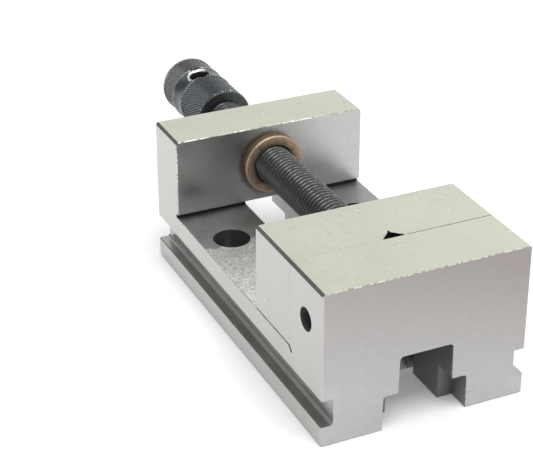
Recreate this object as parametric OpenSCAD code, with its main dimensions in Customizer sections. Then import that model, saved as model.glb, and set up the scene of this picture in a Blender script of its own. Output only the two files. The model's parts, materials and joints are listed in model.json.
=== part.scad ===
// Screw-type precision machine vise, as a toolmaker uses on a grinder or mill.
// Origin: midway between the two hold-down bolts, in the plane of the underside.
// X runs across the jaws, +Y points from the fixed jaw to the knob, +Z is up.
// The jaws are drawn closed. All sizes are in millimetres.

/* [Body] */
// Width of the jaws and of the body
body_w = 73; // [68:0.5:80]
// Length of the body without the screw
body_l = 136; // [132:1:160]
// Height of the jaws and of the screw post
body_h = 54.3; // [52:0.1:60]
// Height of the two guide rails
rail_h = 24.1; // [23:0.1:26]
// Length of the fixed jaw block
fixed_jaw_l = 22.9; // [21:0.1:26]
// Thickness of the screw post
post_t = 20; // [16:0.5:24]
// Chamfer along the long top edges
top_chamfer = 0.9; // [0.4:0.1:1.5]
// Chamfer down the upright edges of the front face
front_chamfer = 0.5; // [0.2:0.1:1]
// Chamfer along the bottom edges
foot_chamfer = 0.8; // [0.4:0.1:1.2]

/* [Slots] */
// Width of the guide slot between the rails
slot_w = 19; // [17:0.1:21]
// Height of the guide slot where it tunnels under the fixed jaw and the post
slot_top = 25.6; // [25:0.1:27]
// Width of the keeper channel in the underside
channel_w = 30; // [28:0.5:34]
// Height of the keeper channel
channel_h = 12.5; // [11:0.1:14]
// Depth of the short recess at the front end
front_recess = 8.4; // [6:0.1:12]
// Length of solid web between the recess and the keeper channel
web_l = 16.1; // [12:0.1:16.1]
// Lower edge of the clamping grooves in the sides
groove_low = 7.2; // [6:0.1:8]
// Upper edge of the clamping grooves in the sides
groove_high = 16.7; // [15:0.1:18]
// Depth of the clamping grooves
groove_d = 4.1; // [3:0.1:5]

/* [Hold-down and stop holes] */
// Distance from the front face to the hold-down bolts
bolt_from_front = 95; // [90:0.5:100]
// Distance between the hold-down bolts
bolt_spacing = 49.6; // [48:0.2:52]
// Diameter of the hold-down bolt holes
bolt_d = 9; // [6.6:0.1:9]
// Diameter of the counterbores for the bolt heads
bolt_head_d = 13.2; // [12:0.1:14]
// Depth of the counterbores
bolt_head_h = 9; // [6:0.5:10]
// Diameter of the tapped hole for a work stop, in the fixed jaw's side
stop_d = 6.8; // [5:0.1:7]
// Depth of the work stop hole
stop_l = 14; // [10:1:16]

/* [Movable jaw] */
// Gap between the closed jaws
jaw_gap = 0.04; // [0.02:0.01:0.2]
// Distance from the fixed jaw's face to the movable jaw's rear face
jaw_l = 25.4; // [25:0.1:30]
// Clearance between the jaw and the tops of the rails
rail_gap = 0.08; // [0.04:0.01:0.15]
// Width of the upright V groove in the gripping face
vee_w = 8.9; // [6:0.1:10]

/* [Screw and knob] */
// Height of the screw above the underside
screw_z = 40; // [39.5:0.1:40.5]
// Outside diameter of the screw thread
screw_d = 14; // [12:0.5:14]
// Diameter of the screw's journal inside the movable jaw
journal_d = 9.9; // [9:0.1:10]
// Outside diameter of the nut's flange
nut_flange_d = 22.4; // [20:0.2:25]
// Thickness of the nut's flange
nut_flange_t = 3; // [2.5:0.5:5]
// Outside diameter of the knob
knob_d = 22.2; // [18:0.1:26]
// Length of the knob
knob_l = 38.9; // [38:0.1:42]
// Gap between the post and the knob with the jaws closed
knob_gap = 22.5; // [10:0.5:30]
// Diameter of the cross hole for a tommy bar
tommy_d = 8; // [6:0.1:8.2]

/* [Hidden] */
$fn = 64;
eps = 0.01;

// Places along Y, from the front face to the knob's end
front_y = -bolt_from_front;
rear_y = front_y + body_l;
fixed_face_y = front_y + fixed_jaw_l;
jaw_front_y = fixed_face_y + jaw_gap;
jaw_rear_y = fixed_face_y + jaw_l;
post_face_y = rear_y - post_t;
channel_y = front_y + front_recess + web_l;
knob_y = rear_y + knob_gap;
knob_end_y = knob_y + knob_l;

// Reliefs ground into the inner corners
relief_w = 1;
relief_l = 2.4;
post_relief_d = 2;
post_relief_h = 1.6;
jaw_foot_chamfer = 0.4;

// Corner radii of the slots
slot_r = 1.4;
channel_r = 1.3;
groove_r = 1.2;

// Movable jaw: keel, journal bore and V groove
keel_gap = 0.05;
keel_w = slot_w - 2 * keel_gap;
keel_y = fixed_face_y + 3.4;
keel_z = channel_h - 0.1;
jaw_z = rail_h + rail_gap;
journal_gap = 0.08;
bore_y = jaw_front_y + 9;
vee_flat = 0.8;
vee_relief = 0.5;

// Thrust pad at the bottom of the journal bore
pad_t = 2.5;
pad_gap = 0.04;

// Journal and the two pins that hold it in the jaw
journal_y = bore_y + pad_t + pad_gap;
shoulder_y = jaw_rear_y + 2.1;
neck_d = 7;
neck_w = 4.2;
neck_y = journal_y + 4.1;
pin_d = 4;
pin_l = 18;
pin_x = neck_d / 2 + pin_d / 2 + 0.05;
pin_low_z = screw_z - pin_l / 2;
grub_d = 5;
grub_l = 6;

// Keeper plate under the jaw, its screws, washers and dowels
keeper_w = channel_w - 0.4;
keeper_chamfer = 1;
keeper_z = 1.2;
keeper_end_y = jaw_rear_y + 4.7;
keeper_screw_d = 5;
keeper_head_d = 8.5;
keeper_head_h = 5;
keeper_head_z = 2;
keeper_bore_d = 9.6;
washer_t = 1;
washer_gap = 0.15;
shank_gap = 0.02;
washer_over = 0.35;
keeper_seat_z = keeper_head_z + keeper_head_h + washer_t;
keeper_screw_l = 14;
keeper_front_y = keel_y + 6;
keeper_rear_y = jaw_rear_y - 3.8;
dowel_d = 3;
dowel_l = 12;
dowel_z = 7;
dowel_x = 7;
dowel_front_y = keel_y + 4;
dowel_rear_y = keeper_rear_y + 0.2;

// Nut pressed into the post
nut_d = 18;
nut_bore_d = screw_d + 0.12;
nut_grub_low_z = slot_top + 0.4;
nut_dimple = 1.2;

// Hexagon sockets, across corners, and their depth
cap_hex_d = 4.6;
grub_hex_d = 2.9;
hex_depth = 2.5;

// Knob, its key, washer and end screw
stub_d = 12;
stub_end_y = knob_end_y - 6.9;
knob_seat_y = stub_end_y + 0.3;
knob_recess_d = 14;
key_w = 3;
key_l = 10;
key_y = knob_y + 2.5;
key_low = 6.9;
key_high = 3.9;
end_screw_d = 5;
end_head_d = 8.5;
end_head_h = 5;
end_screw_l = 5.2;
knob_groove_y = knob_y + 21.8;
knob_groove_w = 8.6;
knob_groove_d = 1;
tommy_angle = -7.5;
tommy_mouth_d = 9.4;
knob_chamfer = 0.6;
knob_crown = 1.4;

steel = [0.80, 0.79, 0.77];
hard_steel = [0.62, 0.62, 0.63];
black_steel = [0.16, 0.16, 0.17];
bronze = [0.70, 0.48, 0.30];

// A solid whose outline is drawn in X and Z, from y0 to y1
module along_y(y0, y1) {
    translate([0, y1, 0]) rotate([90, 0, 0]) linear_extrude(y1 - y0) children();
}

// A round bar or hole on the screw's axis, from y0 to y1
module on_screw(y0, y1, d) {
    translate([0, y1, screw_z]) rotate([90, 0, 0]) cylinder(h = y1 - y0, d = d);
}

// A cone on the screw's axis, d0 wide at y0 and d1 wide at y1
module cone_on_screw(y0, y1, d0, d1) {
    translate([0, y0, screw_z]) rotate([-90, 0, 0]) cylinder(h = y1 - y0, d1 = d0, d2 = d1);
}

// A solid of revolution about the screw's axis; its outline is drawn as [radius, y]
module turned_on_screw() {
    translate([0, 0, screw_z]) rotate([-90, 0, 0]) rotate_extrude($fn = 96) children();
}

// An upright round bar or hole
module upright(x, y, z0, z1, d) {
    translate([x, y, z0]) cylinder(h = z1 - z0, d = d);
}

// A rectangle standing on z = -1, with its two top corners rounded
module round_topped(w, top, r) {
    translate([-w / 2, -1]) square([w, top - r + 1]);
    translate([-w / 2 + r, -1]) square([w - 2 * r, top + 1]);
    for (side = [-1, 1]) translate([side * (w / 2 - r), top - r]) circle(r);
}

// Outline of the body in X and Z, without the slots inside it
module body_outline() {
    half = body_w / 2;
    polygon([
        [-half + foot_chamfer, 0], [half - foot_chamfer, 0], [half, foot_chamfer],
        [half, body_h - top_chamfer], [half - top_chamfer, body_h],
        [-half + top_chamfer, body_h], [-half, body_h - top_chamfer], [-half, foot_chamfer]
    ]);
}

// Side view of the body in Y and Z: rails with the jaw and the post standing on them
module body_side() {
    difference() {
        polygon([
            [front_y, 0], [rear_y, 0], [rear_y, body_h], [post_face_y, body_h],
            [post_face_y, rail_h], [fixed_face_y, rail_h], [fixed_face_y, body_h],
            [front_y, body_h]
        ]);
        post_relief_outline();
        jaw_relief_outline();
    }
}

// Undercut along the foot of the post, with a round bottom
module post_relief_outline() {
    r = post_relief_h / 2;
    translate([post_face_y - 1, rail_h]) square([1 + post_relief_d - r, post_relief_h]);
    translate([post_face_y + post_relief_d - r, rail_h + r]) circle(r);
}

// Slanted relief in the corner below the fixed jaw's face
module jaw_relief_outline() {
    translate([fixed_face_y, rail_h]) rotate(-135)
        translate([-relief_w, -relief_w / 2]) square([relief_l + relief_w, relief_w]);
}

// Clamping groove in the left side, open to the left
module side_groove_outline() {
    wall_x = -body_w / 2 + groove_d;
    translate([wall_x - groove_d - 1, groove_low])
        square([groove_d + 1 - groove_r, groove_high - groove_low]);
    translate([wall_x - groove_r - eps, groove_low + groove_r])
        square([groove_r + eps, groove_high - groove_low - groove_r]);
    translate([wall_x - groove_r, groove_low + groove_r]) circle(groove_r);
}

// Wedge that chamfers the right-hand upright edge of the front face
module front_edge_cut() {
    half = body_w / 2;
    translate([0, 0, -1]) linear_extrude(body_h + 2)
        polygon([[half - front_chamfer - 1, front_y - 1], [half + 1, front_y - 1],
                 [half + 1, front_y + front_chamfer + 1]]);
}

module hold_down_hole(side) {
    x = side * bolt_spacing / 2;
    upright(x, 0, -1, rail_h + 1, bolt_d);
    upright(x, 0, rail_h - bolt_head_h, rail_h + 1, bolt_head_d);
}

module work_stop_hole() {
    mouth_d = stop_d + 1.2;
    translate([-body_w / 2 - eps, front_y + fixed_jaw_l / 2 - 0.1, screw_z]) rotate([0, 90, 0]) {
        cylinder(h = stop_l + eps, d = stop_d);
        cylinder(h = (mouth_d - stop_d) / 2, d1 = mouth_d, d2 = stop_d);
    }
}

module body() {
    color(steel) difference() {
        intersection() {
            along_y(front_y, rear_y) body_outline();
            translate([-body_w / 2, 0, 0]) rotate([90, 0, 90]) linear_extrude(body_w) body_side();
        }
        along_y(front_y - 1, rear_y + 1) round_topped(slot_w, slot_top, slot_r);
        along_y(front_y - 1, front_y + front_recess) round_topped(channel_w, channel_h, channel_r);
        along_y(channel_y, rear_y + 1) round_topped(channel_w, channel_h, channel_r);
        along_y(front_y - 1, rear_y + 1) side_groove_outline();
        mirror([1, 0, 0]) along_y(front_y - 1, rear_y + 1) side_groove_outline();
        front_edge_cut();
        mirror([1, 0, 0]) front_edge_cut();
        for (side = [-1, 1]) hold_down_hole(side);
        work_stop_hole();
        on_screw(post_face_y - 1, rear_y + 1, nut_d + 0.04);
        upright(0, (post_face_y + rear_y) / 2, slot_top - 1, screw_z, grub_d);
    }
}

// Upright V groove in the gripping face, with a narrow flat relief at its root
module vee_cut() {
    half = vee_w / 2;
    translate([0, jaw_front_y, keel_z - 1]) linear_extrude(body_h) {
        polygon([[-half - 1, -1], [half + 1, -1], [vee_flat / 2, half - vee_flat / 2],
                 [-vee_flat / 2, half - vee_flat / 2]]);
        translate([-vee_flat / 2, 0]) square([vee_flat, half - vee_flat / 2 + vee_relief]);
    }
}

// Side view of the jaw block in Y and Z, with its lower edges broken
module jaw_side() {
    c = jaw_foot_chamfer;
    polygon([[jaw_front_y + c, jaw_z], [jaw_rear_y - c, jaw_z], [jaw_rear_y, jaw_z + c],
             [jaw_rear_y, body_h], [jaw_front_y, body_h], [jaw_front_y, jaw_z + c]]);
}

// Front view of the jaw block in X and Z
module jaw_outline() {
    half = body_w / 2;
    c = jaw_foot_chamfer;
    polygon([[-half + c, jaw_z], [half - c, jaw_z], [half, jaw_z + c],
             [half, body_h - top_chamfer], [half - top_chamfer, body_h],
             [-half + top_chamfer, body_h], [-half, body_h - top_chamfer], [-half, jaw_z + c]]);
}

module movable_jaw() {
    color(steel) difference() {
        union() {
            intersection() {
                along_y(jaw_front_y, jaw_rear_y) jaw_outline();
                translate([-body_w / 2, 0, 0]) rotate([90, 0, 90]) linear_extrude(body_w) jaw_side();
            }
            translate([-keel_w / 2, keel_y, keel_z])
                cube([keel_w, jaw_rear_y - keel_y, jaw_z - keel_z + 1]);
        }
        vee_cut();
        on_screw(bore_y, jaw_rear_y + 1, journal_d + 2 * journal_gap);
        for (side = [-1, 1]) {
            upright(side * pin_x, neck_y, keel_z - 1, pin_low_z, grub_d);
            upright(side * pin_x, neck_y, pin_low_z - eps, pin_low_z + pin_l, pin_d);
        }
        for (y = [keeper_front_y, keeper_rear_y]) {
            upright(0, y, keel_z - 1, keeper_seat_z - washer_t + keeper_screw_l + 0.5, keeper_screw_d);
        }
        dowel_bores();
    }
}

module dowel_bores() {
    upright(-dowel_x, dowel_front_y, dowel_z, dowel_z + dowel_l, dowel_d);
    upright(dowel_x, dowel_rear_y, dowel_z, dowel_z + dowel_l, dowel_d);
}

// Plate below the jaw; its upper edges clear the channel's round corners
module keeper_plate() {
    half = keeper_w / 2;
    c = keeper_chamfer;
    color(hard_steel) difference() {
        along_y(keel_y, keeper_end_y)
            polygon([[-half, keeper_z], [half, keeper_z], [half, keel_z - c], [half - c, keel_z],
                     [-half + c, keel_z], [-half, keel_z - c]]);
        for (y = [keeper_front_y, keeper_rear_y]) {
            upright(0, y, keeper_z - 1, keel_z + 1, keeper_screw_d + 0.5);
            upright(0, y, keeper_z - 1, keeper_seat_z, keeper_bore_d);
        }
        dowel_bores();
    }
}

module keeper_dowel(x, y) {
    color(hard_steel) upright(x, y, dowel_z, dowel_z + dowel_l, dowel_d);
}

module keeper_washer(y) {
    color(black_steel) difference() {
        upright(0, y, keeper_seat_z - washer_t, keeper_seat_z, keeper_head_d + 2 * washer_over);
        upright(0, y, 0, keeper_seat_z + 1, keeper_screw_d + 2 * washer_gap);
    }
}

// Socket head screw that stands head down
module keeper_screw(y) {
    head_top = keeper_head_z + keeper_head_h;
    color(black_steel) difference() {
        union() {
            upright(0, y, keeper_head_z, head_top, keeper_head_d);
            upright(0, y, head_top - eps, head_top + keeper_screw_l, keeper_screw_d - 2 * shank_gap);
        }
        translate([0, y, keeper_head_z - 1]) cylinder(h = hex_depth + 1, d = cap_hex_d, $fn = 6);
    }
}

module retaining_pin(side) {
    color(hard_steel) upright(side * pin_x, neck_y, pin_low_z, pin_low_z + pin_l, pin_d);
}

// Socket set screw, its hexagon facing down
module grub_screw(x, y, z) {
    color(black_steel) difference() {
        upright(x, y, z, z + grub_l, grub_d);
        translate([x, y, z - 1]) cylinder(h = hex_depth + 1, d = grub_hex_d, $fn = 6);
    }
}

module thrust_pad() {
    color(hard_steel) on_screw(bore_y, bore_y + pad_t, journal_d);
}

module screw_nut() {
    rim = 0.5;
    color(bronze) difference() {
        union() {
            on_screw(post_face_y - eps, rear_y, nut_d);
            on_screw(post_face_y - nut_flange_t + rim, post_face_y, nut_flange_d);
            cone_on_screw(post_face_y - nut_flange_t, post_face_y - nut_flange_t + rim + eps,
                          nut_flange_d - 2 * rim, nut_flange_d);
        }
        on_screw(post_face_y - nut_flange_t - 1, rear_y + 1, nut_bore_d);
        cone_on_screw(post_face_y - nut_flange_t - eps, post_face_y - nut_flange_t + 0.8,
                      nut_bore_d + 1.6, nut_bore_d);
        upright(0, (post_face_y + rear_y) / 2, screw_z - nut_d / 2 - 1,
                screw_z - nut_d / 2 + nut_dimple, grub_d);
    }
}

module lead_screw() {
    r = screw_d / 2;
    color(black_steel) difference() {
        turned_on_screw() polygon([
            [0, journal_y], [journal_d / 2 - 0.5, journal_y], [journal_d / 2, journal_y + 0.5],
            [journal_d / 2, neck_y - neck_w / 2], [neck_d / 2, neck_y - neck_w / 2],
            [neck_d / 2, neck_y + neck_w / 2], [journal_d / 2, neck_y + neck_w / 2],
            [journal_d / 2, shoulder_y], [r - 1, shoulder_y], [r, shoulder_y + 1],
            [r, knob_y - 0.02], [stub_d / 2, knob_y - 0.02], [stub_d / 2, stub_end_y], [0, stub_end_y]
        ]);
        tommy_bar_hole(false);
        on_screw(stub_end_y - end_screw_l, stub_end_y + 1, end_screw_d);
        key_solid(0);
    }
}

// The cross hole, with a countersink at each end where it leaves the knob
module tommy_bar_hole(countersunk) {
    reach = knob_d / 2;
    cone_h = (tommy_mouth_d - tommy_d) / 2;
    surface = reach - knob_groove_d;
    translate([0, knob_groove_y, screw_z]) rotate([0, tommy_angle, 0]) {
        translate([0, 0, -reach - 1]) cylinder(h = 2 * reach + 2, d = tommy_d);
        if (countersunk) for (turn = [0, 180]) rotate([turn, 0, 0])
            translate([0, 0, surface - cone_h]) {
                cylinder(h = cone_h, d1 = tommy_d, d2 = tommy_mouth_d);
                translate([0, 0, cone_h - eps]) cylinder(h = knob_groove_d + 1, d = tommy_mouth_d);
            }
    }
}

// Feather key below the screw's stub; room is the extra length of its keyway towards the post
module key_solid(room) {
    translate([-key_w / 2, key_y - room, screw_z - key_low])
        cube([key_w, key_l + room, key_low - key_high]);
}

// Outline of the knob as [radius, y]: ends broken, a shallow groove at the cross hole
module knob_outline() {
    r = knob_d / 2;
    arc_r = (knob_groove_w * knob_groove_w / 4 + knob_groove_d * knob_groove_d) / (2 * knob_groove_d);
    difference() {
        polygon([
            [0, knob_y], [r - knob_chamfer, knob_y], [r, knob_y + knob_chamfer],
            [r, knob_end_y - 2 * knob_crown], [r - 0.35 * knob_crown, knob_end_y - knob_crown],
            [r - knob_crown, knob_end_y - 0.35 * knob_crown],
            [r - 2 * knob_crown, knob_end_y], [0, knob_end_y]
        ]);
        translate([r - knob_groove_d + arc_r, knob_groove_y]) circle(arc_r, $fn = 180);
    }
}

module knob() {
    color(black_steel) difference() {
        turned_on_screw() knob_outline();
        on_screw(knob_y - 1, knob_seat_y + 1, stub_d + 0.02);
        on_screw(knob_seat_y, knob_end_y + 1, knob_recess_d);
        tommy_bar_hole(true);
        key_solid(key_y - knob_y + 1);
    }
}

module knob_key() {
    color(hard_steel) key_solid(0);
}

module knob_washer() {
    color(black_steel) difference() {
        on_screw(knob_seat_y, knob_seat_y + washer_t, knob_recess_d - 0.4);
        on_screw(knob_seat_y - 1, knob_seat_y + washer_t + 1, end_screw_d + 2 * washer_gap);
    }
}

// Socket head screw that holds the knob on the stub
module knob_screw() {
    seat = knob_seat_y + washer_t;
    tip = stub_end_y - end_screw_l + 0.6;
    color(black_steel) difference() {
        union() {
            on_screw(seat, seat + end_head_h, end_head_d);
            on_screw(tip, seat + eps, end_screw_d - 2 * shank_gap);
        }
        translate([0, seat + end_head_h + 1, screw_z]) rotate([90, 0, 0])
            cylinder(h = hex_depth + 1, d = cap_hex_d, $fn = 6);
    }
}

body();
movable_jaw();
keeper_plate();
keeper_dowel(-dowel_x, dowel_front_y);  // keeper_dowel_front
keeper_dowel(dowel_x, dowel_rear_y);  // keeper_dowel_rear
keeper_washer(keeper_front_y);  // keeper_washer_front
keeper_washer(keeper_rear_y);  // keeper_washer_rear
keeper_screw(keeper_front_y);  // keeper_screw_front
keeper_screw(keeper_rear_y);  // keeper_screw_rear
retaining_pin(-1);  // retaining_pin_left
retaining_pin(1);  // retaining_pin_right
grub_screw(-pin_x, neck_y, pin_low_z - grub_l);  // pin_grub_left
grub_screw(pin_x, neck_y, pin_low_z - grub_l);  // pin_grub_right
thrust_pad();
screw_nut();
grub_screw(0, (post_face_y + rear_y) / 2, nut_grub_low_z);  // nut_grub_screw
lead_screw();
knob();
knob_key();
knob_washer();
knob_screw();
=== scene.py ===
"""Looks of the precision machine vise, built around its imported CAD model. Metres, +Z up."""

import json
import math

import bmesh
import bpy
from mathutils import Matrix, Vector


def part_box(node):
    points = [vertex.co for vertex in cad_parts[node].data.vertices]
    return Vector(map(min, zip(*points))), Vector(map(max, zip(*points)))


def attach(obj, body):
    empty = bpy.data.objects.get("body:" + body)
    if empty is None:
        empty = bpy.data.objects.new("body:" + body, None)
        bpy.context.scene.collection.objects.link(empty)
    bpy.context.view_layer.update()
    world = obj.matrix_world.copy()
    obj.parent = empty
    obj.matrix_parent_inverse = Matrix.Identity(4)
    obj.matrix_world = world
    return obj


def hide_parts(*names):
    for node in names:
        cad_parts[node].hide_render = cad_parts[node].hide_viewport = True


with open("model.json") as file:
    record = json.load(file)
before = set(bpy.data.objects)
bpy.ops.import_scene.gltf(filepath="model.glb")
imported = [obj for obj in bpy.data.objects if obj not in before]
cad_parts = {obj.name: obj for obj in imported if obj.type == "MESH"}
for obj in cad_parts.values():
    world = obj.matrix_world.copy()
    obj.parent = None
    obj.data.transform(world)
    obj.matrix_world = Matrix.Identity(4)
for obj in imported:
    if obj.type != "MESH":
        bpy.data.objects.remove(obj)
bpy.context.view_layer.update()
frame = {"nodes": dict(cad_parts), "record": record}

MM = 0.001
TAU = 2 * math.pi

# ---------------------------------------------------------------- places taken from the frame

SCREW_LO, SCREW_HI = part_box("lead_screw")
KNOB_LO, KNOB_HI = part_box("knob")
BODY_LO, BODY_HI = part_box("body")
JAW_LO, JAW_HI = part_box("movable_jaw")
NUT_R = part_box("screw_nut")[1].x  # the nut's flange is centred on X = 0
RECESS_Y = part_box("knob_washer")[0].y

AXIS_Z = (KNOB_LO.z + KNOB_HI.z) / 2
SCREW_R = (SCREW_HI.x - SCREW_LO.x) / 2
KNOB_R = (KNOB_HI.x - KNOB_LO.x) / 2
MOUNTS = {m["name"]: m for m in frame["record"]["mounts"]}
CROSS_Y = MOUNTS["tommy_bar_hole"]["pos_m"][1]
CROSS_AXIS = Vector(MOUNTS["tommy_bar_hole"]["axis"]).normalized()
CROSS_R = MOUNTS["tommy_bar_hole"]["dims"]["r_mm"] * MM
RAIL_Z = max(  # the highest large level face below the tops of the jaw and the post
    p.center.z for p in frame["nodes"]["body"].data.polygons
    if p.normal.z > 0.99 and p.area > 1e-4 and p.center.z < BODY_HI.z - 10 * MM
)

# ---------------------------------------------------------------- sizes of the looks

SAME_POINT = 2e-6
SAME_PLANE = math.radians(0.4)
EDGE_BREAK = 0.25 * MM
LONG_EDGE = 5 * MM
SQUARE_EDGE = math.radians(60)
VEE_SIDE = 4 * MM  # a little less than half the V groove's width
THREAD_PITCH = 2.0 * MM
THREAD_DEPTH = 1.15 * MM
THREAD_START = JAW_HI.y + 2.1 * MM
RUNOUT_START = 2.2 * MM
RUNOUT_END = 0.88 * MM
POST_Y = BODY_HI.y - 20 * MM  # the screw post's face towards the jaws
POLISH_REFLECTION_Y = BODY_HI.y - 43 * MM  # the rails have a polish, and a painted reflection of the post, from here to the post
KNURL_TEETH = 60
KNURL_DEPTH = 0.55 * MM
KNURL_ANGLE = math.radians(30)
KNURL_GAP = 0.2 * MM  # plain strip between a knurled land and the groove
KNURL_START = 0.7 * MM  # from the near face to the near land
KNURL_END = 0.56 * MM  # from the far land to the far end's rounding
GROOVE_W = 8.6 * MM
GROOVE_D = 1.0 * MM
FACE_RING_R = 8.5 * MM  # a ring of points between the bore and the near face's edge
NEAR_EDGE = ((0, 0.75 * MM), (0.25 * MM, 0.4 * MM))  # chamfer: distance from the face, and depth
FAR_ROUND = 3.08 * MM  # radius of the far end's rounding
FAR_STEP = 0.1 * MM
MOUTH_R = 4.7 * MM  # cross hole's countersink
STUB_R = 6.01 * MM  # knob's bore, which holds the screw's stub
RECESS_R = 7.0 * MM
RECESS_EDGE = 0.3 * MM

# ---------------------------------------------------------------- meshes


def make_object(name, bm, sharp_deg=25):
    mesh = bpy.data.meshes.new(name)
    bmesh.ops.recalc_face_normals(bm, faces=bm.faces)
    bm.to_mesh(mesh)
    bm.free()
    for p in mesh.polygons:
        p.use_smooth = True
    mesh.set_sharp_from_angle(angle=math.radians(sharp_deg))
    obj = bpy.data.objects.new(name, mesh)
    bpy.context.scene.collection.objects.link(obj)
    return obj


def node_mesh(node):
    """The CAD node's surface with its doubled vertices joined and its flat faces merged."""
    bm = bmesh.new()
    bm.from_mesh(frame["nodes"][node].data)
    bmesh.ops.remove_doubles(bm, verts=bm.verts, dist=SAME_POINT)
    bmesh.ops.dissolve_limit(
        bm, angle_limit=SAME_PLANE, verts=bm.verts, edges=bm.edges, delimit=set()
    )
    return bm


def closing(edge):
    """True for an edge in the plane where the two jaws meet, which is ground sharp.
    The top edge right of the V groove is worn, and so it isn't one of them."""
    if all(v.co.z > JAW_HI.z - 0.1 * MM and v.co.x > VEE_SIDE for v in edge.verts):
        return False
    return all(abs(v.co.y - JAW_LO.y) < 0.1 * MM for v in edge.verts)


def broken_edges(node, name, width):
    """A copy of a CAD node with its long square edges broken by a bevel, marked as material 1."""
    bm = node_mesh(node)
    for face in bm.faces:
        face.material_index = 0
    square = [
        e for e in bm.edges
        if len(e.link_faces) == 2 and e.is_convex and e.calc_length() > LONG_EDGE
        and e.calc_face_angle(0) > SQUARE_EDGE and not closing(e)
    ]
    bmesh.ops.bevel(
        bm, geom=square, offset=width, segments=1, profile=0.5, affect="EDGES",
        clamp_overlap=False, material=1,
    )
    return make_object(name, bm, sharp_deg=14)


def round_axis(r, y, t):
    """The point at radius r and angle t round the screw's axis."""
    return r * math.cos(t), y, AXIS_Z + r * math.sin(t)


def ring_faces(bm, a, b):
    """Four-sided faces between two rings of vertices."""
    for j in range(len(a)):
        k = (j + 1) % len(a)
        bm.faces.new((a[j], a[k], b[k], b[j]))


def thread_radius(phase):
    """Radius of a worn 60 degree thread at a phase of 0 to 1 along the pitch."""
    crest, flank = 0.14, 0.68  # shares of half a pitch
    down = min(max((abs(phase - 0.5) * 2 - crest) / flank, 0.0), 1.0)
    return SCREW_R - THREAD_DEPTH * down


def threaded_bar(name, y0, y1):
    """A closed bar with a right-hand helical thread, which fades into the bar at both ends."""
    rings_per_pitch, points = 14, 72
    bm = bmesh.new()
    rows = int((y1 - y0) / THREAD_PITCH * rings_per_pitch)
    middle = SCREW_R - THREAD_DEPTH * 0.5
    rings = []
    for i in range(rows + 1):
        y = y0 + (y1 - y0) * i / rows
        fade = min(1.0, (y - y0) / RUNOUT_START, (y1 - y) / RUNOUT_END)
        ring = []
        for j in range(points):
            t = TAU * j / points
            full = thread_radius(((y - y0) / THREAD_PITCH + t / TAU) % 1.0)
            r = middle + (full - middle) * fade
            ring.append(bm.verts.new(round_axis(r, y, t)))
        rings.append(ring)
    for a, b in zip(rings, rings[1:]):
        ring_faces(bm, a, b)
    bm.faces.new(rings[0])
    bm.faces.new(list(reversed(rings[-1])))
    return make_object(name, bm, sharp_deg=38)


def kept_end(node, name, cut_y, keep_above, reach=0.0):
    """The part of a CAD node on one side of a plane across Y, closed at the cut, with the cut
    end drawn out by reach, into the piece that it joins."""
    bm = node_mesh(node)
    cut = bmesh.ops.bisect_plane(
        bm, geom=bm.verts[:] + bm.edges[:] + bm.faces[:], plane_co=(0, cut_y, 0),
        plane_no=(0, 1, 0), clear_inner=keep_above, clear_outer=not keep_above,
    )
    rim = [e for e in cut["geom_cut"] if isinstance(e, bmesh.types.BMEdge)]
    for v in {v for e in rim for v in e.verts}:
        v.co.y += -reach if keep_above else reach
    bmesh.ops.holes_fill(bm, edges=rim, sides=0)
    return make_object(name, bm)


def join(name, objects):
    for o in bpy.context.selected_objects:
        o.select_set(False)
    for o in objects:
        o.select_set(True)
    bpy.context.view_layer.objects.active = objects[0]
    bpy.ops.object.join()
    objects[0].name = name
    objects[0].data.name = name
    return objects[0]


def knurl_rows(y0, y1, r):
    """Places along the knob for the knurl's rings, half a diamond apart."""
    width = TAU * r / KNURL_TEETH
    length = width / math.tan(KNURL_ANGLE)
    count = max(2, round((y1 - y0) / (length / 2)))
    return [y0 + (y1 - y0) * i / count for i in range(count + 1)]


def knob_profile():
    """Rows (y, radius, knurled) from the knob's bore, over its outside, to its recess."""
    near, far = KNOB_LO.y, KNOB_HI.y
    groove0, groove1 = CROSS_Y - GROOVE_W / 2, CROSS_Y + GROOVE_W / 2
    arc_r = (GROOVE_W ** 2 / 4 + GROOVE_D ** 2) / (2 * GROOVE_D)
    arc_top = KNOB_R - GROOVE_D + arc_r
    groove_steps, round_steps = 12, 7
    rows = [(near, STUB_R, False), (near, FACE_RING_R, False)]
    rows += [(near + along, KNOB_R - depth, False) for along, depth in NEAR_EDGE]
    near_land = knurl_rows(near + KNURL_START, groove0 - KNURL_GAP, KNOB_R)
    rows += [(y, KNOB_R, True) for y in near_land]
    for i in range(groove_steps + 1):
        y = groove0 + (groove1 - groove0) * i / groove_steps
        rows.append((y, arc_top - math.sqrt(arc_r ** 2 - (y - CROSS_Y) ** 2), False))
    far_land = knurl_rows(groove1 + KNURL_GAP, far - FAR_ROUND - KNURL_END, KNOB_R)
    rows += [(y, KNOB_R, True) for y in far_land]
    for i in range(round_steps + 1):
        t = math.pi / 2 * i / round_steps
        rows.append((far - FAR_ROUND + FAR_ROUND * math.sin(t),
                     KNOB_R - FAR_STEP - FAR_ROUND * (1 - math.cos(t)), False))
    rows += [(far, RECESS_R + RECESS_EDGE, False), (far - RECESS_EDGE, RECESS_R, False),
             (RECESS_Y, RECESS_R, False), (RECESS_Y, STUB_R, False)]
    return rows


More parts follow.
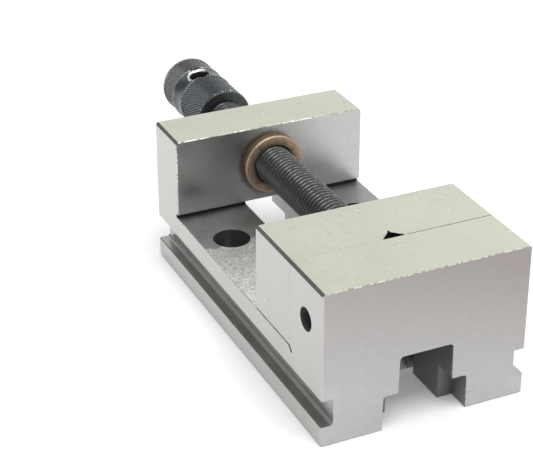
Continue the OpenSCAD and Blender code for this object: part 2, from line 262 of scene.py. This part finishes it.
def knob_mesh(name):
    """A knob with two knurled lands, a shallow groove between them, and its bore and recess."""
    columns = 2 * KNURL_TEETH
    rows = knob_profile()
    bm = bmesh.new()
    rings = []
    for i, (y, r, knurled) in enumerate(rows):
        ring = []
        for j in range(columns):
            valley = knurled and (i + j) % 2 == 0
            depth = KNURL_DEPTH if valley else 0
            ring.append(bm.verts.new(round_axis(r - depth, y, TAU * j / columns)))
        rings.append(ring)
    for i, a in enumerate(rings):
        after = (i + 1) % len(rings)
        b = rings[after]
        if not (rows[i][2] and rows[after][2]):
            ring_faces(bm, a, b)
            continue
        for j in range(columns):
            k = (j + 1) % columns
            if (i + j) % 2 == 0:
                bm.faces.new((a[j], a[k], b[k]))
                bm.faces.new((a[j], b[k], b[j]))
            else:
                bm.faces.new((a[j], a[k], b[j]))
                bm.faces.new((a[k], b[k], b[j]))
    return make_object(name, bm, sharp_deg=20)


def cross_hole_cutter(name, flare):
    """A bar through the knob with a countersink at each end."""
    reach, sides = KNOB_R + 2 * MM, 64
    surface = KNOB_R - GROOVE_D
    cone = flare - CROSS_R
    turn = Vector((0, 0, 1)).rotation_difference(CROSS_AXIS).to_matrix().to_4x4()
    place = Matrix.Translation((0, CROSS_Y, AXIS_Z)) @ turn
    profile = [(-reach, flare), (-surface, flare), (-surface + cone, CROSS_R),
               (surface - cone, CROSS_R), (surface, flare), (reach, flare)]
    bm = bmesh.new()
    rings = []
    for z, r in profile:
        rings.append([bm.verts.new(place @ Vector((r * math.cos(TAU * j / sides),
                                                   r * math.sin(TAU * j / sides), z)))
                      for j in range(sides)])
    for a, b in zip(rings, rings[1:]):
        ring_faces(bm, a, b)
    bm.faces.new(list(reversed(rings[0])))
    bm.faces.new(rings[-1])
    return make_object(name, bm)


def carve(obj, cutter):
    """Cuts one closed mesh out of another for good."""
    cut = obj.modifiers.new("carve", "BOOLEAN")
    cut.operation, cut.solver, cut.object = "DIFFERENCE", "EXACT", cutter
    graph = bpy.context.evaluated_depsgraph_get()
    made = bpy.data.meshes.new_from_object(obj.evaluated_get(graph))
    obj.modifiers.clear()
    obj.data = made
    bpy.data.objects.remove(cutter)
    made.set_sharp_from_angle(angle=math.radians(20))


# ---------------------------------------------------------------- materials


class Nodes:
    """Short names for building one material's node tree."""

    def __init__(self, name):
        self.material = bpy.data.materials.new(name)
        self.material.use_nodes = True
        self.tree = self.material.node_tree
        self.shader = self.tree.nodes["Principled BSDF"]
        self.place = self.add("ShaderNodeTexCoord").outputs["Object"]

    def add(self, kind, **settings):
        node = self.tree.nodes.new(kind)
        for key, value in settings.items():
            setattr(node, key, value)
        return node

    def put(self, socket, value):
        if hasattr(value, "is_output"):
            self.tree.links.new(value, socket)
        else:
            socket.default_value = value

    def math(self, operation, a, b=0.0, c=0.0, clamp=False):
        node = self.add("ShaderNodeMath", operation=operation, use_clamp=clamp)
        for socket, value in zip(node.inputs, (a, b, c)):
            self.put(socket, value)
        return node.outputs[0]

    def axis(self, letter):
        split = self.add("ShaderNodeSeparateXYZ")
        self.put(split.inputs[0], self.place)
        return split.outputs[letter]

    def cross_distance(self):
        """Distance from the axis of the knob's cross hole."""
        away = self.add("ShaderNodeVectorMath", operation="SUBTRACT")
        self.put(away.inputs[0], self.place)
        away.inputs[1].default_value = (0, CROSS_Y, AXIS_Z)
        across = self.add("ShaderNodeVectorMath", operation="CROSS_PRODUCT")
        self.put(across.inputs[0], away.outputs[0])
        across.inputs[1].default_value = CROSS_AXIS
        length = self.add("ShaderNodeVectorMath", operation="LENGTH")
        self.put(length.inputs[0], across.outputs[0])
        return length.outputs["Value"]

    def axis_distance(self):
        """Distance from the screw's axis."""
        x, z = self.axis("X"), self.math("SUBTRACT", self.axis("Z"), AXIS_Z)
        square = self.math("ADD", self.math("MULTIPLY", x, x), self.math("MULTIPLY", z, z))
        return self.math("SQRT", square)

    def scaled(self, scale):
        node = self.add("ShaderNodeMapping")
        self.put(node.inputs["Vector"], self.place)
        node.inputs["Scale"].default_value = scale
        return node.outputs[0]

    def noise(self, scale, detail=2.0, rough=0.5, distortion=0.0):
        """Noise with its own number of cells per metre along each axis."""
        node = self.add("ShaderNodeTexNoise")
        self.put(node.inputs["Vector"], self.scaled(scale))
        node.inputs["Scale"].default_value = 1.0
        node.inputs["Detail"].default_value = detail
        node.inputs["Roughness"].default_value = rough
        node.inputs["Distortion"].default_value = distortion
        return node.outputs["Fac"]

    def span(self, value, lo, hi, to_lo=0.0, to_hi=1.0, smooth=False):
        node = self.add("ShaderNodeMapRange", clamp=True)
        if smooth:
            node.interpolation_type = "SMOOTHSTEP"
        for socket, v in zip(node.inputs, (value, lo, hi, to_lo, to_hi)):
            self.put(socket, v)
        return node.outputs[0]

    def mix(self, factor, a, b):
        node = self.add("ShaderNodeMix", data_type="RGBA")
        self.put(node.inputs["Factor"], factor)
        for name, v in (("A", a), ("B", b)):
            socket = [s for s in node.inputs if s.name == name and s.type == "RGBA"][0]
            self.put(socket, v if hasattr(v, "is_output") else (*v, 1.0))
        return [s for s in node.outputs if s.type == "RGBA"][0]

    def finish(self, colour, rough, height, bump=0.2, distance=0.02 * MM, metal=1.0):
        node = self.add("ShaderNodeBump")
        node.inputs["Strength"].default_value = bump
        node.inputs["Distance"].default_value = distance
        self.put(node.inputs["Height"], height)
        self.put(self.shader.inputs["Base Color"], colour)
        self.put(self.shader.inputs["Roughness"], rough)
        self.shader.inputs["Metallic"].default_value = metal
        self.put(self.shader.inputs["Normal"], node.outputs[0])
        return self.material


def ground_steel(name, light, dark, grain, rough=(0.16, 0.27), bump=0.12, tarnish_and_shade=None, nicks=0.6,
                 flange_shadow=False):
    """Surface-ground steel: fine parallel scratches, cloudy tone, small pits and bright nicks.
    A tone given for the upper part paints it darker and pinkish, stronger to the right: a thin
    brown tarnish and painted shade.
    A flag paints a dark halo round the left of the nut's flange as painted shadow."""
    n = Nodes(name)
    lines = n.noise(grain, 3.0, 0.6)
    cloud = n.noise((60, 60, 60), 3.0, 0.55)
    mottle = n.noise((480, 480, 480), 2.0, 0.6)
    tone = n.math("ADD", n.math("MULTIPLY", lines, 0.3), n.math("MULTIPLY", cloud, 0.4))
    tone = n.span(n.math("ADD", tone, n.math("MULTIPLY", mottle, 0.3)), 0.38, 0.62)
    specks = n.noise((420, 420, 420), 1.0, 0.4)
    pit = n.span(specks, 0.82, 0.85)
    nick = n.span(specks, 0.245, 0.215)
    colour = n.mix(tone, dark, light)
    drift = n.span(n.noise((34, 34, 34), 3.0, 0.6), 0.40, 0.62)
    greenish = (light[0] * 0.93, light[1] * 0.985, light[2] * 0.97)
    colour = n.mix(n.math("MULTIPLY", drift, 0.5), colour, greenish)
    # Tarnish and painted shade: the upper part, more so on the right, darkens towards the given
    # tone.
    if tarnish_and_shade:
        height = n.math("ADD", n.axis("Z"), n.math("MULTIPLY", n.axis("X"), 0.30))
        height = n.math("ADD", height, n.math("MULTIPLY", cloud, 8 * MM))
        tarnish_and_shade_mask = n.span(height, 12 * MM, 62 * MM)
        colour = n.mix(tarnish_and_shade_mask, colour, n.mix(tone, [v * 0.96 for v in tarnish_and_shade], tarnish_and_shade))
    colour = n.mix(n.math("MULTIPLY", pit, 0.6), colour, [v * 0.4 for v in dark])
    bare, flange_shadow_tone = (0.86, 0.86, 0.84), (0.115, 0.108, 0.098)
    colour = n.mix(n.math("MULTIPLY", nick, nicks), colour, bare)
    # Painted shadow: a dark halo round the left of the nut's flange on the post.
    if flange_shadow:
        reach = n.math("ADD", n.axis_distance(), n.math("MULTIPLY", mottle, 2 * MM))
        flange_shadow_mask = n.span(reach, NUT_R + 3.4 * MM, NUT_R + 1.2 * MM, smooth=True)
        flange_shadow_mask = n.math("MULTIPLY", flange_shadow_mask, n.span(n.axis("X"), 6 * MM, -4 * MM))
        colour = n.mix(n.math("MULTIPLY", flange_shadow_mask, 0.7), colour, flange_shadow_tone)
    worn = n.span(cloud, 0.35, 0.68, *rough)
    return n.finish(colour, worn, lines, bump, distance=0.01 * MM)


def recess_shade(name):
    """Dark, matt steel: painted shade for holes, reliefs, chamfers at the foot and the jaws' seam.
    """
    n = Nodes(name)
    recess_mottle = n.noise((300, 300, 900), 3.0, 0.6)
    # Painted shade: nearly black, with a faint mottle.
    colour = n.mix(recess_mottle, (0.038, 0.041, 0.043), (0.050, 0.053, 0.055))
    return n.finish(colour, 0.95, recess_mottle, bump=0.3, metal=0.0)


def slot_wall(name):
    """Walls of the slot: dark and mottled beneath the fixed jaw as painted shade, ground bright
    between the rails.
    """
    n = Nodes(name)
    wall_mottle = n.noise((150, 90, 150), 3.0, 0.55)
    # Painted shade: the walls beneath the fixed jaw are painted dark.
    shade_beneath_jaw = n.mix(wall_mottle, (0.155, 0.162, 0.170), (0.215, 0.223, 0.232))
    open_part = n.mix(wall_mottle, (0.50, 0.50, 0.495), (0.58, 0.58, 0.57))
    bright = n.span(n.axis("Y"), JAW_HI.y - 4 * MM, JAW_HI.y + 2 * MM)
    return n.finish(n.mix(bright, shade_beneath_jaw, open_part), 0.46, wall_mottle, bump=0.1, metal=0.55)


def worn_edge(name):
    """Broken edges: dotted light and dark, with stretches rubbed bright, mainly on the post."""
    n = Nodes(name)
    dots = n.noise((800, 800, 800), 2.0, 0.6)
    colour = n.mix(n.span(dots, 0.40, 0.56), (0.27, 0.27, 0.262), (0.60, 0.60, 0.575))
    rubbed = n.span(n.noise((70, 70, 70), 1.0, 0.4), 0.54, 0.62)
    bright = n.math("MULTIPLY", rubbed, n.span(dots, 0.42, 0.50))
    bright = n.math("MULTIPLY", bright, n.span(n.axis("Y"), JAW_HI.y, POST_Y, 0.2, 1.0))
    return n.finish(n.mix(bright, colour, (0.90, 0.90, 0.87)), 0.55, dots, bump=0.3, metal=0.7)


def rail_steel(name, light, dark):
    """Tops of the rails: a polish near the post, painted darker there as a painted reflection of
    the post, with swirl marks towards the jaws.
    """
    n = Nodes(name)
    y = n.axis("Y")
    ragged = n.math("MULTIPLY", n.span(n.noise((200, 200, 200), 1.0), 0.3, 0.7), 3 * MM)
    polish_and_reflection = n.span(n.math("ADD", y, ragged), POLISH_REFLECTION_Y - 1 * MM, POLISH_REFLECTION_Y + 1 * MM)
    swirl = n.noise((520, 520, 520), 3.0, 0.6, 2.4)
    cloud = n.noise((90, 90, 90), 2.0, 0.5)
    colour = n.mix(n.span(swirl, 0.40, 0.60), dark, light)
    # Painted reflection: near the post the rails are painted dark, as the post mirrored in their
    # polish.
    colour = n.mix(n.math("MULTIPLY", polish_and_reflection, 0.82), colour, (0.27, 0.285, 0.275))
    matt = n.span(cloud, 0.3, 0.7, 0.36, 0.46)
    rough = n.math("ADD", matt, n.math("MULTIPLY", polish_and_reflection, 0.06))
    return n.finish(colour, rough, swirl, bump=0.10, distance=0.01 * MM)


def plain_steel(name, light, dark, rough=(0.3, 0.42)):
    """Plain steel, bright or blackened, with lighter, rubbed spots."""
    n = Nodes(name)
    fine = n.noise((420, 420, 420), 4.0, 0.6)
    cloud = n.noise((110, 110, 110), 2.0, 0.5)
    tone = n.math("MULTIPLY", n.span(fine, 0.4, 0.7), n.span(cloud, 0.3, 0.7, 0.5, 1.0))
    return n.finish(n.mix(tone, dark, light), n.span(fine, 0.3, 0.7, *rough), fine, bump=0.25)


def screw_black(name):
    """Black screw with thread crests rubbed bright a little all round, and painted brighter as
    painted highlight on the upper right of the stretch between the jaw and the post."""
    n = Nodes(name)
    x, z = n.axis("X"), n.math("SUBTRACT", n.axis("Z"), AXIS_Z)
    r = n.axis_distance()
    fine = n.noise((900, 900, 900), 3.0, 0.6)
    crest = n.span(r, SCREW_R - 0.30 * MM, SCREW_R - 0.02 * MM, smooth=True)
    height = n.math("ADD", z, n.math("MULTIPLY", x, 0.9))
    # Painted highlight: the crests are painted brighter on the upper right, where the light falls,
    # and dimmer past the back of the post.
    lit_side = n.span(height, -1.5 * MM, 3.5 * MM, 0.12, 1.0, smooth=True)
    lit_side = n.math("MULTIPLY", lit_side, n.span(n.axis("Y"), BODY_HI.y, BODY_HI.y + 4 * MM, 1.0, 0.3))
    worn = n.math("MULTIPLY", crest, n.math("MULTIPLY", lit_side, n.span(fine, 0.35, 0.62)), clamp=True)
    colour = n.mix(worn, (0.085, 0.087, 0.087), (0.30, 0.31, 0.305))
    return n.finish(colour, n.span(fine, 0.3, 0.7, 0.32, 0.46), fine, bump=0.2, metal=0.75)


def knob_black(name):
    """Blackened knob: knurl tips rubbed lighter, painted glints on the near rim, and a crescent of
    painted highlight beside the cross hole."""
    n = Nodes(name)
    r = n.axis_distance()
    fine = n.noise((700, 700, 700), 3.0, 0.6)
    tip = n.span(r, KNOB_R - 0.22 * MM, KNOB_R, smooth=True)
    worn = n.math("MULTIPLY", tip, n.span(fine, 0.3, 0.65), clamp=True)
    far = n.span(n.axis("Y"), CROSS_Y + 0.4 * GROOVE_W, CROSS_Y + 0.6 * GROOVE_W)
    base = n.mix(far, (0.115, 0.123, 0.132), (0.165, 0.172, 0.180))
    colour = n.mix(worn, base, (0.62, 0.635, 0.64))
    near = n.span(n.axis("Y"), KNOB_LO.y + 2.6 * MM, KNOB_LO.y + 0.5 * MM)
    # Painted glints: bright spots on the near rim's knurl.
    painted_glint = n.math("MULTIPLY", near, n.span(n.noise((420, 420, 420), 1.0), 0.56, 0.62))
    painted_glint = n.math("MULTIPLY", painted_glint, n.span(r, KNOB_R - 0.45 * MM, KNOB_R - 0.2 * MM))
    colour = n.mix(painted_glint, colour, (0.92, 0.93, 0.94))
    # Painted highlight: a bright crescent on the far side of the cross hole.
    ragged = n.math("MULTIPLY", n.span(n.noise((600, 600, 600), 2.0), 0.35, 0.65), 0.75 * MM)
    reach = n.math("ADD", ragged, CROSS_R + 0.30 * MM)
    away = n.span(n.math("SUBTRACT", n.axis("Y"), n.math("MULTIPLY", n.axis("X"), 0.5)),
                  CROSS_Y + 0.2 * MM, CROSS_Y + 2.2 * MM)
    rim = n.math("MULTIPLY", n.math("LESS_THAN", n.cross_distance(), reach), away)
    outside = n.span(r, KNOB_R - 2.0 * MM, KNOB_R - 1.7 * MM)
    colour = n.mix(n.math("MULTIPLY", rim, outside), colour, (0.86, 0.86, 0.85))
    return n.finish(colour, n.span(fine, 0.3, 0.7, 0.26, 0.40), fine, bump=0.2, metal=0.85)


def turned_bronze(name):
    """Turned bronze: rings about the axis, a rim worn bright and painted lighter as highlight, its
    outer edge painted dark as shade, and dirt round the screw."""
    n = Nodes(name)
    r = n.axis_distance()
    waves = n.math("SINE", n.math("MULTIPLY", r, 26000))  # a ring about every 0.24 mm
    rings = n.math("MULTIPLY", n.math("ADD", waves, 1), 0.5)
    blotch = n.noise((330, 330, 330), 4.0, 0.65)
    uneven = n.math("ADD", r, n.math("MULTIPLY", n.math("SUBTRACT", blotch, 0.5), 3.2 * MM))
    rim = n.span(uneven, NUT_R - 1.5 * MM, NUT_R - 0.5 * MM, smooth=True)
    dirt = n.span(uneven, SCREW_R + 3.0 * MM, SCREW_R + 1.1 * MM, smooth=True)
    base = n.mix(n.span(blotch, 0.35, 0.65), (0.36, 0.262, 0.185), (0.50, 0.365, 0.255))
    # Worn rim and painted highlight: the rim is painted lighter all round.
    colour = n.mix(n.math("MULTIPLY", rim, 0.35), base, (0.62, 0.45, 0.30))
    # Painted shade: a thin dark line at the flange's outer edge.
    edge_shade = n.span(r, NUT_R - 0.12 * MM, NUT_R - 0.02 * MM)
    colour = n.mix(n.math("MULTIPLY", edge_shade, 0.75), colour, (0.13, 0.095, 0.068))
    colour = n.mix(n.math("MULTIPLY", dirt, 0.72), colour, (0.115, 0.105, 0.090))
    height = n.math("ADD", rings, n.math("MULTIPLY", blotch, 0.8))
    return n.finish(colour, n.span(blotch, 0.3, 0.7, 0.50, 0.62), height, bump=0.4, metal=0.8)


# One ground steel in lit and shaded copies: painted light makes the tops lighter and the faces
# towards the front darker; grain and finish differ too.
ground = {
    "top": ground_steel("ground_top", light=(0.635, 0.640, 0.545), dark=(0.560, 0.565, 0.478),
                        grain=(2400, 90, 90)),
    "side": ground_steel("ground_side", light=(0.502, 0.486, 0.478), dark=(0.450, 0.437, 0.430),
                         grain=(90, 90, 2400)),
    # The front's upper part is painted darker: tarnish and painted shade.
    "front": ground_steel("ground_front", light=(0.475, 0.466, 0.468), dark=(0.432, 0.425, 0.427),
                          grain=(420, 90, 420), rough=(0.22, 0.30), bump=0.06,
                          tarnish_and_shade=(0.305, 0.278, 0.272), nicks=0.15),
    # The post gets a painted shadow round the left of the nut's flange.
    "post": ground_steel("ground_post", light=(0.500, 0.490, 0.486), dark=(0.452, 0.444, 0.441),
                         grain=(420, 90, 420), rough=(0.30, 0.38), bump=0.06, nicks=0.15,
                         flange_shadow=True),
    "groove": ground_steel("ground_groove", light=(0.50, 0.505, 0.49), dark=(0.41, 0.415, 0.405),
                           grain=(90, 90, 1800), rough=(0.30, 0.42)),
    # Recesses get painted shade.
    "bore": recess_shade("recess_shade"),
    "slot": slot_wall("slot_wall"),
    "rail": rail_steel("polished_rail", light=(0.90, 0.90, 0.89), dark=(0.56, 0.56, 0.555)),
    "edge": worn_edge("worn_edge"),
}
hard = plain_steel("hard_steel_fine", light=(0.66, 0.66, 0.66), dark=(0.50, 0.50, 0.51),
                  rough=(0.22, 0.34))
black = plain_steel("black_oxide_fine", light=(0.16, 0.165, 0.17), dark=(0.06, 0.062, 0.066))
screw_finish = screw_black("screw_black")
knob_finish = knob_black("knob_black")
bronze = turned_bronze("turned_bronze")

# ---------------------------------------------------------------- which finish goes where

GROUND_ORDER = list(ground)
WALL_X = MOUNTS["clamp_groove_right"]["pos_m"][0]
GROOVE_MID = MOUNTS["clamp_groove_right"]["pos_m"][2]
HOLD_DOWN_X = MOUNTS["hold_down"]["dims"]["spacing_x_mm"] * MM / 2
STOP = MOUNTS["work_stop_hole"]["pos_m"]
SKIN = 0.05 * MM  # faces this close to a side of the body lie in it
FOOT_CHAMFER = 0.9 * MM
GROOVE_HALF = 4.8 * MM
BOLT_HEAD_R = 6.65 * MM
STOP_MOUTH_R = 4.1 * MM
STOP_END_X = -20 * MM
CHANNEL_HALF = 15.2 * MM
TUNNEL_TOP = RAIL_Z + 1.6 * MM
JAW_FOOT = 0.6 * MM
SEAM = 0.5 * MM
UNDERCUT = (POST_Y + 1 * MM, RAIL_Z + 0.8 * MM)  # middle of the undercut along the post's foot
CORNER = (JAW_LO.y, RAIL_Z - 0.9 * MM)  # middle of the slanted relief below the fixed jaw's face


def about(c, middle, half_y, half_z):
    """True for a place in the rectangle of this half size about a middle in Y and Z."""
    return abs(c.y - middle[0]) < half_y and abs(c.z - middle[1]) < half_z


def jaw_finish(c, n):
    """The finish of a face of the movable jaw whose place decides it, or None."""
    if c.z < RAIL_Z:
        return "slot"
    # The bore finish paints shade on the jaw's foot and along the seam by its top.
    foot = c.z < RAIL_Z + JAW_FOOT and abs(n.z) < 0.9
    seam = abs(c.y - JAW_LO.y) < SEAM and c.z > JAW_HI.z - SEAM and 0.1 < abs(n.z) < 0.98
    return "bore" if foot or seam else None


def body_finish(c, n):
    """The finish of a face of the body whose place decides it, or None."""
    # The bore finish paints shade: on the foot chamfers, in the bolt holes and the stop hole's
    # mouth, and in the reliefs.
    if c.z < FOOT_CHAMFER and n.z > -0.95:
        return "bore"
    if abs(c.z - GROOVE_MID) < GROOVE_HALF and abs(n.y) < 0.5:
        if WALL_X - 2 * SKIN < abs(c.x) < BODY_HI.x - SKIN:
            return "groove"
    in_bolt_hole = math.hypot(abs(c.x) - HOLD_DOWN_X, c.y) < BOLT_HEAD_R
    if in_bolt_hole and 0.3 * MM < c.z < RAIL_Z - 0.3 * MM:
        return "bore"
    in_wall = BODY_LO.x + SKIN < c.x < STOP_END_X
    if in_wall and math.hypot(c.y - STOP[1], c.z - STOP[2]) < STOP_MOUTH_R:
        return "bore"
    relief = about(c, UNDERCUT, 1.1 * MM, 0.9 * MM) or about(c, CORNER, 2.7 * MM, 1.7 * MM)
    if relief and abs(n.x) < 0.5 and abs(n.z) < 0.98:
        return "bore"
    # The tunnel's inside gets the slot's finish, which is painted shade beneath the fixed jaw.
    inside = abs(c.x) < CHANNEL_HALF and 0 < c.z < TUNNEL_TOP
    if inside and c.y > BODY_LO.y + 0.5 * MM and n.z < 0.7:
        if abs(n.y) < 0.5 or c.y < JAW_LO.y:
            return "slot"
    return None


def finish_ground(obj, by_place, top_is_rail_below=0.0):
    """Gives each face the finish of its place, and otherwise of the way it faces, whose colour
    carries painted light: lighter tops, darker fronts.
    """
    worn = [p.material_index == 1 for p in obj.data.polygons]
    obj.data.materials.clear()
    for key in GROUND_ORDER:
        obj.data.materials.append(ground[key])
    for p, is_edge in zip(obj.data.polygons, worn):
        n, c = p.normal, p.center
        kind = by_place(c, n)
        chamfer = abs(n.x) > 0.5 and abs(n.z) > 0.5
        if kind is None and is_edge and not chamfer:
            kind = "edge"
        elif kind is None and abs(n.z) > 0.7 and not chamfer:
            kind = "rail" if n.z > 0 and c.z < top_is_rail_below else "top"
        elif kind is None and abs(n.x) > 0.5:
            kind = "side"
        elif kind is None:
            kind = "post" if c.y > JAW_LO.y + 1 * MM else "front"
        p.material_index = GROUND_ORDER.index(kind)


def dress(obj, material):
    obj.data.materials.clear()
    obj.data.materials.append(material)


# ---------------------------------------------------------------- pieces

body = broken_edges("body", "body_ground", EDGE_BREAK)
finish_ground(body, body_finish, top_is_rail_below=RAIL_Z + 1 * MM)
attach(body, "base")
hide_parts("body")

jaw = broken_edges("movable_jaw", "jaw_ground", EDGE_BREAK)
finish_ground(jaw, jaw_finish)
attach(jaw, "jaw")
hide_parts("movable_jaw")

thread_end = KNOB_LO.y - 0.02 * MM
journal_end = THREAD_START + 0.2 * MM
stub_start = thread_end + 0.05 * MM
screw = join("screw_threaded", [
    threaded_bar("thread", THREAD_START, thread_end),
    kept_end("lead_screw", "journal", journal_end, keep_above=False),
    kept_end("lead_screw", "stub", stub_start, keep_above=True, reach=0.4 * MM),
])
dress(screw, screw_finish)
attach(screw, "screw")
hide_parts("lead_screw")

knob = knob_mesh("knob_knurled")
carve(knob, cross_hole_cutter("cross_hole", MOUTH_R))
dress(knob, knob_finish)
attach(knob, "screw")
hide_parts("knob")

SLOT_FINISH = {"hard_steel": hard, "black_oxide": black, "bronze": bronze}
REPLACED = ("body", "movable_jaw", "lead_screw", "knob")
for part in frame["record"]["subparts"]:
    if part["node"] not in REPLACED:
        dress(frame["nodes"][part["node"]], SLOT_FINISH[part["material_slot"]])

# ---------------------------------------------------------------- floor, light, camera

FLOOR_GLOW = 0.18  # brings the shaded floor near white
SKY_FRONT, SKY_BACK, SKY_RIGHT, SKY_LEFT = 0.74, 0.99, 1.14, 0.24
# Spans of a direction's x, y or z over which the sky changes
FRONT_TO_BACK, TO_RIGHT = (-0.85, 0.35), (0.36, 0.52)
FROM_LEFT, LOW_TO_HIGH = (-0.30, 0.05), (0.50, 0.68)


def floor_plane():
    bm = bmesh.new()
    half = 3.0
    bm.faces.new([bm.verts.new(v) for v in
                  ((-half, -half, 0), (half, -half, 0), (half, half, 0), (-half, half, 0))])
    obj = make_object("floor", bm)
    material = bpy.data.materials.new("floor_white")
    material.use_nodes = True
    shader = material.node_tree.nodes["Principled BSDF"]
    shader.inputs["Base Color"].default_value = (0.92, 0.92, 0.92, 1)
    shader.inputs["Roughness"].default_value = 0.9
    shader.inputs["Specular IOR Level"].default_value = 0.0
    shader.inputs["Emission Color"].default_value = (1, 1, 1, 1)
    shader.inputs["Emission Strength"].default_value = FLOOR_GLOW
    obj.data.materials.append(material)
    return obj


floor_plane()


def soft_light(name, place, target, size, power):
    data = bpy.data.lights.new(name, "AREA")
    data.shape, data.size, data.energy = "SQUARE", size, power
    obj = bpy.data.objects.new(name, data)
    obj.location = place
    obj.rotation_mode = "QUATERNION"
    obj.rotation_quaternion = (Vector(target) - Vector(place)).to_track_quat("-Z", "Y")
    bpy.context.scene.collection.objects.link(obj)


soft_light("key", place=(0.0, -0.50, 1.45), target=(0, 0, 0.03), size=0.7, power=10.5)

world = bpy.data.worlds.new("studio")
bpy.context.scene.world = world
world.use_nodes = True
sky = world.node_tree.nodes["Background"]


def sky_gradient():
    """A white studio: dimmer in front of the vise and low on its left, brighter on its right."""
    tree = world.node_tree
    place = tree.nodes.new("ShaderNodeTexCoord").outputs["Generated"]
    split = tree.nodes.new("ShaderNodeSeparateXYZ")
    tree.links.new(place, split.inputs[0])

    def ramp(value, lo, hi, to_lo, to_hi):
        node = tree.nodes.new("ShaderNodeMapRange")
        node.interpolation_type = "SMOOTHSTEP"
        tree.links.new(value, node.inputs["Value"])
        for socket, v in zip(node.inputs[1:], (lo, hi, to_lo, to_hi)):
            socket.default_value = v
        return node.outputs[0]

    def product(a, b):
        node = tree.nodes.new("ShaderNodeMath")
        node.operation = "MULTIPLY"
        tree.links.new(a, node.inputs[0])
        tree.links.new(b, node.inputs[1])
        return node.outputs[0]

    x, y, z = (split.outputs[letter] for letter in "XYZ")
    strength = product(ramp(y, *FRONT_TO_BACK, SKY_FRONT, SKY_BACK),
                       ramp(x, *TO_RIGHT, 1, SKY_RIGHT))
    low_left = product(ramp(x, *FROM_LEFT, 1, 0), ramp(z, *LOW_TO_HIGH, 1, 0))
    strength = product(strength, ramp(low_left, 0, 1, 1, SKY_LEFT))
    tree.links.new(strength, sky.inputs["Strength"])


sky.inputs["Color"].default_value = (0.985, 0.99, 0.975, 1)
sky_gradient()

bpy.context.scene.view_settings.view_transform = "Standard"

CAMERA_PLACE = (-0.221383, -0.461778, 0.295451)
CAMERA_RIGHT = Vector((0.899687, -0.436443, 0.008956))
CAMERA_FORWARD = Vector((0.391904, 0.798498, -0.456960))

camera_data = bpy.data.cameras.new("camera")
camera = bpy.data.objects.new("camera", camera_data)
bpy.context.scene.collection.objects.link(camera)
camera_data.sensor_width = 36.0
camera_data.lens = 109.574
camera_data.shift_x, camera_data.shift_y = -0.0797, -0.0403
camera_data.clip_start, camera_data.clip_end = 0.01, 20
camera.location = CAMERA_PLACE
camera.rotation_mode = "QUATERNION"
camera.rotation_quaternion = Matrix(
    (CAMERA_RIGHT, CAMERA_RIGHT.cross(CAMERA_FORWARD), -CAMERA_FORWARD)
).transposed().to_quaternion()
bpy.context.scene.camera = camera

bpy.context.view_layer.update()
